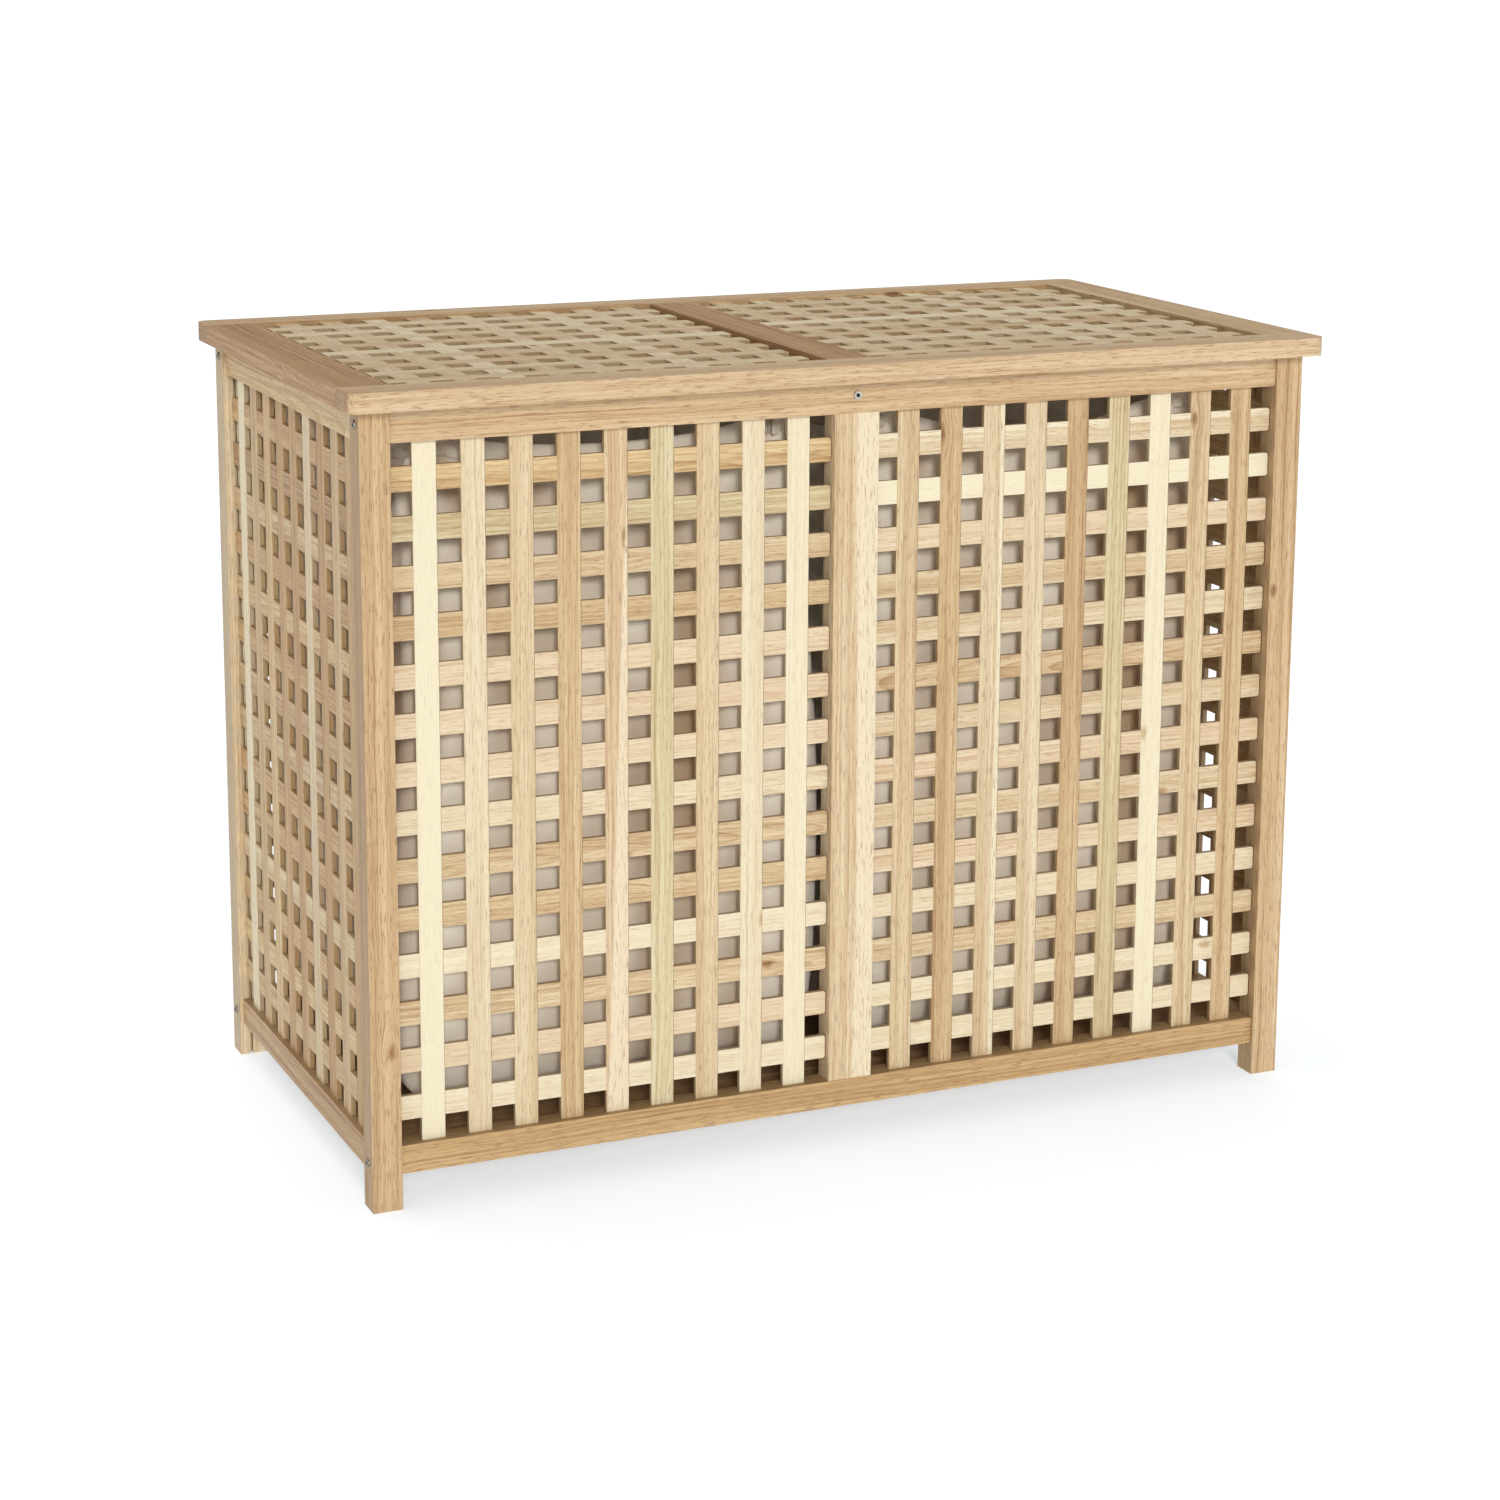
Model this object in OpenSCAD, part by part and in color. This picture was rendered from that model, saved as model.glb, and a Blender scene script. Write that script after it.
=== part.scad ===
// Two-bag laundry chest: a screwed lattice frame on four legs, a hinged lattice lid,
// a loose bottom board and two cotton bags that hang from pegs on the top rails.
// Origin: centre of the footprint on the floor. +X to the right, -Y is the front, +Z up.

/* [Chest] */
// Width over the posts
chest_w = 850; // [700:10:1000]
// Depth over the posts
chest_d = 426; // [380:2:520]
// Height of the posts, without the lid
chest_h = 654; // [560:2:720]
// Width of a post, seen from the front
post_w = 25; // [22:1:30]
// Depth of a post, seen from the side
post_d = 23; // [23:1:30]
// Clear height under the bottom rails
leg_h = 29; // [20:1:60]
// Thickness of every rail
rail_t = 20; // [18:1:20]
// How far a rail sits behind the faces of the posts
rail_set = 3.5; // [2:0.5:4]
// Height of the top rails
top_rail_h = 27; // [27:1:40]
// Height of the bottom rails
bottom_rail_h = 24; // [24:1:40]
// Width of the centre stile of the front and the back
stile_w = 40; // [30:1:60]
// Thickness of the bottom board
board_t = 6; // [4:1:8]

/* [Lattice] */
// Width of every slat
slat_w = 20; // [16:1:24]
// Thickness of the slats, half-lapped so that both directions lie flush
lattice_t = 4.5; // [4:0.5:6]
// How far the front and back lattices sit behind the faces of the posts
lattice_set = 9; // [5:0.5:12]
// How far the side lattices sit behind the outer faces of the posts
side_lattice_set = 7.5; // [5:0.5:7.5]
// Upright slats in each bay and in each side
uprights = 9; // [6:1:9]
// Cross slats in every panel
crosses = 14; // [10:1:14]
// Radius on the corners of a cross slat's ends
end_r = 2.5; // [1:0.5:4]

/* [Lid] */
// Thickness of the lid frame
lid_t = 16; // [14:1:20]
// Overhang of the lid at the sides
lid_over_x = 12.5; // [8:0.5:20]
// Overhang of the lid at the front and the back
lid_over_y = 17; // [16:0.5:20]
// Width of the left and right lid rails
lid_side_w = 42.5; // [36:0.5:50]
// Width of the front and back lid rails
lid_end_w = 36; // [34:0.5:50]
// Width of the centre lid rail
lid_centre_w = 40; // [30:1:50]
// How far the lid lattice lies below the top of its frame
lid_recess = 2; // [1:0.5:3]
// Thickness of the lid's half-lapped slats
lid_slat_t = 5; // [4:0.5:6]
// How far the long lid slats stop short of the rails
lid_end_gap = 6; // [2:0.5:10]
// Radius of the lid's four corners
lid_corner_r = 10; // [4:1:16]

/* [Bags] */
// Height of a bag's floor above the ground
bag_floor = 76; // [60:1:100]
// Height of a bag's rim above the ground
bag_rim = 630; // [600:1:632]
// Left and right side of the left bag
left_bag_x = [-388, -21]; // [-400:1:-15]
// Left and right side of the right bag
right_bag_x = [15, 350]; // [15:1:400]
// Gap between a bag and the front and back rails
bag_gap = 8; // [6:1:14]
// Thickness that stands for a bag's cloth
bag_wall = 2.5; // [2:0.5:4]
// Corner radius of a bag
bag_r = 30; // [10:1:50]

/* [Hinges] */
// Distance of each hinge from the middle
hinge_x = 270; // [150:5:340]
// Length of a hinge
hinge_l = 60; // [40:1:80]
// Radius of a hinge knuckle
knuckle_r = 3; // [2.5:0.1:3]
// Radius of a hinge pin
pin_r = 1.25; // [1:0.05:1.5]

/* [Hidden] */
$fn = 48;
eps = 0.01;
lid_gap = 0.3;                      // clearance under the closed lid
end_gap = 1;                        // a cross slat stops this short of its post or stile
lap_play = 0.05;                    // clearance beside a slat in its notch
half_w = chest_w / 2;
half_d = chest_d / 2;
bay_w = (chest_w - 2 * post_w - stile_w) / 2;
side_w = chest_d - 2 * post_d;
field_z0 = leg_h + bottom_rail_h;   // the lattice field, between the rails
field_z1 = chest_h - top_rail_h;
field_h = field_z1 - field_z0;
rail_mid = rail_set + rail_t / 2;   // centre plane of a rail behind the post's face
rail_back = rail_set + rail_t;      // inner face of a rail
rail_z = [chest_h - 12, leg_h + 11];  // heights of the screws in the top and bottom rails
screw_set = post_d / 2;             // the screws run through the middle of the posts

// fastenings
screw_r = 2.5;
screw_l = 55;
head_r = 3.9;
head_t = 1.4;
socket_r = 1.9;
peg_r = 2;
peg_in = 14;                        // length of a bag peg inside its rail
peg_head_r = 4;
peg_head_t = 2;
peg_z = 640;
dowel_r = 3;
dowel_l = 28;
dowel_set = 15;                     // a side rail's dowels behind the post's outer side face
dowel_dz = [7, 6.5];                // dowels above and below a screw, top and bottom

// groove in the posts for the tongues of the side lattice
groove_lip = 1.5;                   // from the outer face of a side lattice to the groove
groove_x = side_lattice_set + groove_lip;
groove_w = 2.5;
groove_d = 5;
tongue_l = 4;
tongue_in = 5;

// bag crossbar
bar_w = 20;
bar_h = 22;
bar_z = rail_z[0];
bar_l = chest_d - 2 * rail_back;

batten_w = 12;
batten_h = 8;

// lid
lid_w = chest_w + 2 * lid_over_x;
lid_d = chest_d + 2 * lid_over_y;
lid_z0 = chest_h + lid_gap;
lid_bay_x = (lid_w - 2 * lid_side_w - lid_centre_w) / 2;
lid_bay_y = lid_d - 2 * lid_end_w;
lid_lattice_z0 = lid_z0 + lid_t - lid_recess - lid_slat_t;
lid_dowel_dx = 11;

// bags
bag_y = half_d - rail_back - bag_gap;
bag_tab_w = 22;
bag_tab_t = 2;
bag_tab_top = peg_z + 8;
bag_tab_in = 30;                    // a tab's centre line inside the bag's corner
peg_head_at = bag_gap + bag_tab_t + 0.5;

// hinges
hinge_y = half_d;
hinge_z = chest_h - 3.6;
leaf_t = 1.5;
leaf_play = 0.4;
knuckles = 5;
knuckle_l = hinge_l / knuckles;
lid_leaf_d = 14;
rail_leaf_h = 22;
pin_play = 0.07;
pin_head_r = 2;
hinge_screw_r = 1.5;
hinge_screw_l = 12;
hinge_head_r = 2.8;

pale = [0.90, 0.83, 0.66];
tan = [0.84, 0.70, 0.49];
brown = [0.72, 0.52, 0.33];
mauve = [0.66, 0.51, 0.39];
cotton = [0.90, 0.87, 0.82];
steel = [0.75, 0.75, 0.73];

// ---- helpers ----

// A box given by its low corner and its size
module block(low, size) { translate(low) cube(size); }

// A rectangle with four round corners, from [0, 0]
module round_rect(w, h, r) {
    translate([r, 0]) square([w - 2 * r, h]);
    translate([0, r]) square([w, h - 2 * r]);
    for (x = [r, w - r], y = [r, h - r]) translate([x, y]) circle(r);
}

// Cylinders along X and Y, from a start point
module rod_x(start, length, r) { translate(start) rotate([0, 90, 0]) cylinder(h = length, r = r); }
module rod_y(start, length, r) { translate(start) rotate([-90, 0, 0]) cylinder(h = length, r = r); }

// ---- fastenings: the same shapes cut the holes ----

// Dowels between the side rails and the posts; side is -1 for left, 1 for right
module side_dowels(side) {
    for (end = [-1, 1], level = [0, 1], up = [-1, 1]) {
        z = rail_z[level] + up * dowel_dz[level];
        rod_y([side * (half_w - dowel_set), end * (half_d - post_d) - dowel_l / 2, z], dowel_l, dowel_r);
    }
}

// Dowels between the centre stiles and their rails
module stile_joint_dowels() {
    for (end = [-1, 1], x = [-10, 10], z = [field_z0, field_z1])
        translate([x, end * (half_d - rail_mid), z - dowel_l / 2]) cylinder(h = dowel_l, r = dowel_r);
}

// One socket-head screw along +X, its head's seat at the origin
module socket_screw(length) {
    difference() {
        union() {
            rod_x([0, 0, 0], length, screw_r);
            rotate([0, 90, 0]) mirror([0, 0, 1]) cylinder(h = head_t, r1 = head_r, r2 = head_r - 0.6);
        }
        rotate([0, 90, 0]) mirror([0, 0, 1]) translate([0, 0, head_t - 1])
            cylinder(h = 2, r = socket_r, $fn = 6);
    }
}

// Places its child at each of the eight frame screws, pointing inwards
module at_frame_screws() {
    for (side = [-1, 1], end = [-1, 1], z = rail_z)
        translate([side * half_w, end * (half_d - screw_set), z])
            rotate([0, 0, side < 0 ? 0 : 180]) children();
}

// Places its child at the two crossbar screws, on the outer faces of the top rails
module at_crossbar_screws() {
    for (end = [-1, 1])
        translate([0, end * (half_d - rail_set), bar_z]) rotate([0, 0, -end * 90]) children();
}

module screw_bore() { rod_x([-1, 0, 0], screw_l + 1, screw_r); }

// Places its child at the eight bag pegs, on the inner faces of the top rails
module at_pegs() {
    for (end = [-1, 1], x = concat(tab_xs(left_bag_x), tab_xs(right_bag_x)))
        translate([x, end * (half_d - rail_back), peg_z]) rotate([end < 0 ? -90 : 90, 0, 0]) children();
}

function tab_xs(bag_x) = [bag_x[0] + bag_tab_in, bag_x[1] - bag_tab_in];

// Dowels between the lid's front and back rails and the three rails between them
module lid_joint_dowels() {
    for (end = [-1, 1], x = [-lid_w / 2 + lid_side_w / 2, 0, lid_w / 2 - lid_side_w / 2],
         dx = [-lid_dowel_dx, lid_dowel_dx])
        rod_y([x + dx, end * lid_bay_y / 2 - dowel_l / 2, lid_z0 + lid_t / 2], dowel_l, dowel_r);
}

// ---- posts ----

module post(side, end) {
    color(brown) difference() {
        block([side < 0 ? -half_w : half_w - post_w, end < 0 ? -half_d : half_d - post_d, 0],
              [post_w, post_d, chest_h]);
        // the groove in the face towards the side panel
        block([side < 0 ? -half_w + groove_x : half_w - groove_x - groove_w,
               end < 0 ? -half_d + post_d - groove_d : half_d - post_d - eps, -1],
              [groove_w, groove_d + eps, chest_h + 2]);
        side_dowels(side);
        at_frame_screws() screw_bore();
    }
}

module front_left_post() post(-1, -1);
module front_right_post() post(1, -1);
module rear_left_post() post(-1, 1);
module rear_right_post() post(1, 1);

// ---- rails and stiles ----

// A front or back rail between the posts; end is -1 for front, 1 for back
module long_rail(end, z0, h) {
    difference() {
        translate([-half_w + post_w, end < 0 ? -half_d + rail_back : half_d - rail_set, z0])
            rotate([90, 0, 0]) linear_extrude(rail_t) round_rect(chest_w - 2 * post_w, h, end_r);
        at_frame_screws() screw_bore();
        stile_joint_dowels();
        children();
    }
}

// A side rail between the posts; side is -1 for left, 1 for right
module side_rail(side, z0, h) {
    color(side < 0 ? tan : brown) difference() {
        block([side < 0 ? -half_w + rail_set : half_w - rail_back, -half_d + post_d, z0], [rail_t, side_w, h]);
        side_dowels(side);
    }
}

module top_rail(end) {
    long_rail(end, field_z1, top_rail_h) {
        at_crossbar_screws() screw_bore();
        at_pegs() translate([0, 0, -peg_in]) cylinder(h = peg_in + 1, r = peg_r);
        if (end > 0) at_hinges() rail_leaf_screws() cylinder(h = hinge_screw_l, r = hinge_screw_r);
    }
}

module front_top_rail() color(tan) top_rail(-1);
module rear_top_rail() color(tan) top_rail(1);
module front_bottom_rail() color(tan) long_rail(-1, leg_h, bottom_rail_h);
module rear_bottom_rail() color(tan) long_rail(1, leg_h, bottom_rail_h);
module left_top_rail() side_rail(-1, field_z1, top_rail_h);
module left_bottom_rail() side_rail(-1, leg_h, bottom_rail_h);
module right_top_rail() side_rail(1, field_z1, top_rail_h);
module right_bottom_rail() side_rail(1, leg_h, bottom_rail_h);

module centre_stile(end) {
    color(pale) difference() {
        block([-stile_w / 2, end < 0 ? -half_d + rail_set : half_d - rail_back, field_z0],
              [stile_w, rail_t, field_h]);
        stile_joint_dowels();
    }
}

module front_centre_stile() centre_stile(-1);
module rear_centre_stile() centre_stile(1);

// ---- lattice panels: slats notched to half their thickness where they cross ----

// Start of slat i where n slats share a field evenly
function slat_at(i, n, field) = (i + 1) * (field - n * slat_w) / (n + 1) + i * slat_w;

// The notch for crossing slat i in a slat's side view; keep is the side that goes through
function notch(i, n, field, t, keep) = let (y = slat_at(i, n, field)) [
    [y + slat_w + lap_play, t - keep], [y + slat_w + lap_play, t / 2],
    [y - lap_play, t / 2], [y - lap_play, t - keep]
];

// A slat along Y that n slats cross; keep is 0 if its low half goes through, t if its high half does
module lapped_slat(w, length, n, t, keep) {
    rotate([90, 0, 90]) linear_extrude(w) polygon(concat(
        [[0, keep], [length, keep], [length, t - keep]],
        [for (i = [n - 1 : -1 : 0]) each notch(i, n, length, t, keep)],
        [[0, t - keep]]));
}

// The same with two free ends, rounded at the corners, that stop short of the field
module free_slat(length, n, t, keep, gap) {
    intersection() {
        translate([0, gap, -1]) linear_extrude(t + 2) round_rect(slat_w, length - 2 * gap, end_r);
        translate([-1, 0, 0]) lapped_slat(slat_w + 2, length, n, t, keep);
    }
}

// Turns a slat from Y to X
module along_x() { translate([0, slat_w, 0]) rotate([0, 0, -90]) children(); }

// Low X of a bay: bay is -1 for the left one, 1 for the right one
function bay_x0(bay) = bay < 0 ? -half_w + post_w : stile_w / 2;

// Places a lattice drawn in XY, its outer face up, in a bay of the front or the back
module in_bay(end, bay) {
    rotate([0, 0, end < 0 ? 0 : 180])
        translate([bay_x0(-end * bay), -half_d + lattice_set + lattice_t, field_z0])
            rotate([90, 0, 0]) children();
}

// Places a lattice in the left or the right side
module in_side(side) {
    rotate([0, 0, side < 0 ? 180 : 0])
        translate([half_w - side_lattice_set - lattice_t, -side_w / 2, field_z0])
            rotate([90, 0, 90]) children();
}

module upright_row(w) {
    for (i = [0 : uprights - 1])
        translate([slat_at(i, uprights, w), 0, 0]) lapped_slat(slat_w, field_h, crosses, lattice_t, lattice_t);
}

module cross_row(w) {
    for (i = [0 : crosses - 1])
        translate([0, slat_at(i, crosses, field_h), 0]) along_x() free_slat(w, uprights, lattice_t, 0, end_gap);
}

module bay_uprights(end, bay) color(pale) in_bay(end, bay) upright_row(bay_w);
module bay_cross_slats(end, bay) color(tan) in_bay(end, bay) cross_row(bay_w);
module side_uprights(side) color(pale) in_side(side) upright_row(side_w);

// Cross slats of a side, with a tongue at each end that sits in the groove of a post
module side_cross_slats(side) {
    color(tan) in_side(side) {
        cross_row(side_w);
        for (i = [0 : crosses - 1], x = [-tongue_l, side_w - tongue_in])
            block([x, slat_at(i, crosses, field_h) + end_r, lattice_t - groove_lip - groove_w],
                  [tongue_l + tongue_in, slat_w - 2 * end_r, groove_w]);
    }
}

module front_left_bay_uprights() bay_uprights(-1, -1);
module front_right_bay_uprights() bay_uprights(-1, 1);
module rear_left_bay_uprights() bay_uprights(1, -1);
module rear_right_bay_uprights() bay_uprights(1, 1);
module front_left_bay_cross_slats() bay_cross_slats(-1, -1);
module front_right_bay_cross_slats() bay_cross_slats(-1, 1);
module rear_left_bay_cross_slats() bay_cross_slats(1, -1);
module rear_right_bay_cross_slats() bay_cross_slats(1, 1);
module left_side_uprights() side_uprights(-1);
module right_side_uprights() side_uprights(1);
module left_side_cross_slats() side_cross_slats(-1);
module right_side_cross_slats() side_cross_slats(1);

// ---- frame hardware ----

module left_frame_dowels() color(tan) side_dowels(-1);
module right_frame_dowels() color(tan) side_dowels(1);
module stile_dowels() color(tan) stile_joint_dowels();
module frame_screws() color(steel) at_frame_screws() socket_screw(screw_l);
module crossbar_screws() color(steel) at_crossbar_screws() socket_screw(screw_l);

// ---- inside: crossbar, board, battens ----

module bag_crossbar() {
    color(tan) difference() {
        block([-bar_w / 2, -bar_l / 2, bar_z - bar_h / 2], [bar_w, bar_l, bar_h]);
        at_crossbar_screws() screw_bore();
    }
}

module board_batten(end) {
    color(tan) block([-half_w + post_w, end < 0 ? -bar_l / 2 : bar_l / 2 - batten_w, leg_h],
                     [chest_w - 2 * post_w, batten_w, batten_h]);
}

module front_board_batten() board_batten(-1);
module rear_board_batten() board_batten(1);

module bottom_board() {
    color(brown) block([-half_w + post_w, -bar_l / 2, leg_h + batten_h],
                       [chest_w - 2 * post_w, bar_l, board_t]);
}

// ---- bags ----

// An open bag: a closed floor, four walls and round corners
module laundry_bag(bag_x) {
    w = bag_x[1] - bag_x[0];
    color(cotton) difference() {
        translate([bag_x[0], -bag_y, bag_floor]) linear_extrude(bag_rim - bag_floor)
            round_rect(w, 2 * bag_y, bag_r);
        translate([bag_x[0] + bag_wall, -bag_y + bag_wall, bag_floor + bag_wall])
            linear_extrude(bag_rim - bag_floor)
                round_rect(w - 2 * bag_wall, 2 * (bag_y - bag_wall), bag_r - bag_wall);
    }
}

// The four hanging tabs of a bag, each with a buttonhole round its peg
module bag_tabs(bag_x) {
    color(cotton) for (end = [-1, 1], x = tab_xs(bag_x)) difference() {
        block([x - bag_tab_w / 2, end < 0 ? -bag_y : bag_y - bag_tab_t, bag_rim],
              [bag_tab_w, bag_tab_t, bag_tab_top - bag_rim]);
        rod_y([x, end < 0 ? -bag_y - 1 : bag_y - bag_tab_t - 1, peg_z], bag_tab_t + 2, peg_r);
    }
}

module left_laundry_bag() laundry_bag(left_bag_x);
module right_laundry_bag() laundry_bag(right_bag_x);
module left_bag_tabs() bag_tabs(left_bag_x);
module right_bag_tabs() bag_tabs(right_bag_x);

// A peg: a shank in the rail, a free length that carries the tab, and a round head
module bag_pegs() {
    color(steel) at_pegs() {
        translate([0, 0, -peg_in]) cylinder(h = peg_in + peg_head_at + eps, r = peg_r);
        translate([0, 0, peg_head_at]) cylinder(h = peg_head_t, r = peg_head_r);
    }
}

// ---- hinges ----

// Places its child at each hinge's middle, on the hinge axis
module at_hinges() { for (side = [-1, 1]) translate([side * hinge_x, hinge_y, hinge_z]) children(); }

// Low X of knuckle i
function knuckle_x(i) = -hinge_l / 2 + i * knuckle_l + 0.2;

// Screw places on a rail leaf (pointing into the rail) and on a lid leaf (pointing up)
module rail_leaf_screws() {
    for (x = [-20, 0, 20])
        translate([x, -rail_set + leaf_t, -rail_leaf_h * 0.6]) rotate([90, 0, 0]) children();
}
module lid_leaf_screws() {
    for (x = [-20, 0, 20])
        translate([x, lid_leaf_d * 0.6, lid_z0 - leaf_t - hinge_z]) children();
}

module hinge_screw() {
    cylinder(h = hinge_screw_l, r = hinge_screw_r);
    cylinder(h = leaf_t, r1 = hinge_head_r, r2 = hinge_screw_r);
}

// The leaf on the back of the top rail
module rail_leaf() {
    difference() {
        union() {
            block([-hinge_l / 2, -rail_set, -rail_leaf_h], [hinge_l, leaf_t, rail_leaf_h - knuckle_r - leaf_play]);
            for (i = [0 : 2 : knuckles - 1]) {
                rod_x([knuckle_x(i), 0, 0], knuckle_l - 0.4, knuckle_r);
                block([knuckle_x(i), -rail_set, -rail_leaf_h], [knuckle_l - 0.4, leaf_t, rail_leaf_h]);
            }
        }
        rod_x([-hinge_l, 0, 0], 2 * hinge_l, pin_r);
        rail_leaf_screws() hinge_screw();
    }
}

// The leaf under the lid's back overhang
module lid_leaf() {
    top = lid_z0 - hinge_z;
    difference() {
        union() {
            block([-hinge_l / 2, knuckle_r + leaf_play, top - leaf_t],
                  [hinge_l, lid_leaf_d - knuckle_r - leaf_play, leaf_t]);
            for (i = [1 : 2 : knuckles - 1]) {
                rod_x([knuckle_x(i), 0, 0], knuckle_l - 0.4, knuckle_r);
                block([knuckle_x(i), 0, top - leaf_t], [knuckle_l - 0.4, lid_leaf_d, leaf_t]);
            }
        }
        rod_x([-hinge_l, 0, 0], 2 * hinge_l, pin_r + pin_play);
        lid_leaf_screws() hinge_screw();
    }
}

module hinge_rail_leaves() color(steel) at_hinges() rail_leaf();
module hinge_lid_leaves() color(steel) at_hinges() lid_leaf();
module hinge_rail_screws() color(steel) at_hinges() rail_leaf_screws() hinge_screw();
module hinge_lid_screws() color(steel) at_hinges() lid_leaf_screws() hinge_screw();

module hinge_pins() {
    color(steel) at_hinges() {
        rod_x([-hinge_l / 2, 0, 0], hinge_l, pin_r);
        for (x = [-hinge_l / 2 - 1, hinge_l / 2]) rod_x([x, 0, 0], 1, pin_head_r);
    }
}

// ---- lid ----

// A front or back lid rail with two round outer corners
module lid_end_rail(end) {
    color(mauve) difference() {
        translate([0, 0, lid_z0]) linear_extrude(lid_t) intersection() {
            translate([-lid_w / 2, -lid_d / 2]) round_rect(lid_w, lid_d, lid_corner_r);
            translate([-lid_w / 2, end < 0 ? -lid_d / 2 : lid_d / 2 - lid_end_w]) square([lid_w, lid_end_w]);
        }
        lid_joint_dowels();
        if (end > 0) at_hinges() lid_leaf_screws() cylinder(h = hinge_screw_l, r = hinge_screw_r);
    }
}

// A lid rail that runs from front to back, from a low X
module lid_cross_rail(x0, w) {
    color(mauve) difference() {
        block([x0, -lid_bay_y / 2, lid_z0], [w, lid_bay_y, lid_t]);
        lid_joint_dowels();
    }
}

function lid_bay_x0(bay) = bay < 0 ? -lid_w / 2 + lid_side_w : lid_centre_w / 2;

module in_lid_bay(bay) translate([lid_bay_x0(bay), -lid_bay_y / 2, lid_lattice_z0]) children();

module lid_long_slats(bay) {
    color(pale) in_lid_bay(bay) for (i = [0 : uprights - 1])
        translate([0, slat_at(i, uprights, lid_bay_y), 0]) along_x()
            free_slat(lid_bay_x, uprights, lid_slat_t, lid_slat_t, lid_end_gap);
}

module lid_cross_slats(bay) {
    color(tan) in_lid_bay(bay) for (i = [0 : uprights - 1])
        translate([slat_at(i, uprights, lid_bay_x), 0, 0])
            lapped_slat(slat_w, lid_bay_y, uprights, lid_slat_t, 0);
}

module lid_front_rail() lid_end_rail(-1);
module lid_rear_rail() lid_end_rail(1);
module lid_left_rail() lid_cross_rail(-lid_w / 2, lid_side_w);
module lid_right_rail() lid_cross_rail(lid_w / 2 - lid_side_w, lid_side_w);
module lid_centre_rail() lid_cross_rail(-lid_centre_w / 2, lid_centre_w);
module lid_left_long_slats() lid_long_slats(-1);
module lid_left_cross_slats() lid_cross_slats(-1);
module lid_right_long_slats() lid_long_slats(1);
module lid_right_cross_slats() lid_cross_slats(1);
module lid_dowels() color(tan) lid_joint_dowels();

front_left_post();
front_right_post();
rear_left_post();
rear_right_post();
front_top_rail();
front_bottom_rail();
front_centre_stile();
rear_top_rail();
rear_bottom_rail();
rear_centre_stile();
left_top_rail();
left_bottom_rail();
right_top_rail();
right_bottom_rail();
front_left_bay_uprights();
front_left_bay_cross_slats();
front_right_bay_uprights();
front_right_bay_cross_slats();
rear_left_bay_uprights();
rear_left_bay_cross_slats();
rear_right_bay_uprights();
rear_right_bay_cross_slats();
left_side_uprights();
left_side_cross_slats();
right_side_uprights();
right_side_cross_slats();
left_frame_dowels();
right_frame_dowels();
stile_dowels();
frame_screws();
bag_crossbar();
crossbar_screws();
front_board_batten();
rear_board_batten();
bottom_board();
left_laundry_bag();
right_laundry_bag();
left_bag_tabs();
right_bag_tabs();
bag_pegs();
hinge_rail_leaves();
hinge_pins();
hinge_rail_screws();
lid_front_rail();
lid_rear_rail();
lid_left_rail();
lid_right_rail();
lid_centre_rail();
lid_left_long_slats();
lid_left_cross_slats();
lid_right_long_slats();
lid_right_cross_slats();
lid_dowels();
hinge_lid_leaves();
hinge_lid_screws();
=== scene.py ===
"""Looks for the two-bag laundry chest with a lattice lid.

The CAD nodes stay in place and get wood and metal materials, eased edges and one look per solid.
The two cotton bags and their hanging tabs are built here and replace their CAD stand-ins.
Metres, in the CAD frame: +X right, -Y front, +Z up.
"""

import math

import bmesh
import bpy
import numpy as np
from mathutils import Matrix, Vector, noise


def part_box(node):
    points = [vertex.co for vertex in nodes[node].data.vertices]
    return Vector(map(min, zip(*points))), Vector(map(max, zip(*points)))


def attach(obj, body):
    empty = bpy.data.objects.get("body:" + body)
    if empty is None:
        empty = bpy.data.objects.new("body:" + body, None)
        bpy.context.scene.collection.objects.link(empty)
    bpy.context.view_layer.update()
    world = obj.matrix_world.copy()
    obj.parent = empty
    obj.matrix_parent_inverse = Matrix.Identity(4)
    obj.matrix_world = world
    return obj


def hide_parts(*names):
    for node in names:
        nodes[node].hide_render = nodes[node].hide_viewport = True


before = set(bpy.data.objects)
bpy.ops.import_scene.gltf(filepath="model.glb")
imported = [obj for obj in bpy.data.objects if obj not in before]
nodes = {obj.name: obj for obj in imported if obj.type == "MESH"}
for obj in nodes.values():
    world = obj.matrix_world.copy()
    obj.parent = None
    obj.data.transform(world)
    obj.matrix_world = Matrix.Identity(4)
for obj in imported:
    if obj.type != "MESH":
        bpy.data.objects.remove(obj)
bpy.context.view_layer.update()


# ---------------------------------------------------------------- camera, floor and light

def add_camera():
    """The photograph's view: a long lens with some shift, 24 degrees round to the left."""
    data = bpy.data.cameras.new("camera")
    data.sensor_width = 36
    data.lens = 79.78
    data.shift_y = -0.12
    data.clip_end = 200
    camera = bpy.data.objects.new("camera", data)
    bpy.context.scene.collection.objects.link(camera)
    yaw, pitch, roll = math.radians(23.72), math.radians(11.76), math.radians(0.30)
    turn = Matrix.Rotation(-yaw, 4, "Z") @ Matrix.Rotation(math.pi / 2 - pitch, 4, "X")
    place = Matrix.Translation((-1.1616, -2.6365, 1.0553))
    camera.matrix_world = place @ turn @ Matrix.Rotation(roll, 4, "Z")
    bpy.context.scene.camera = camera


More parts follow.
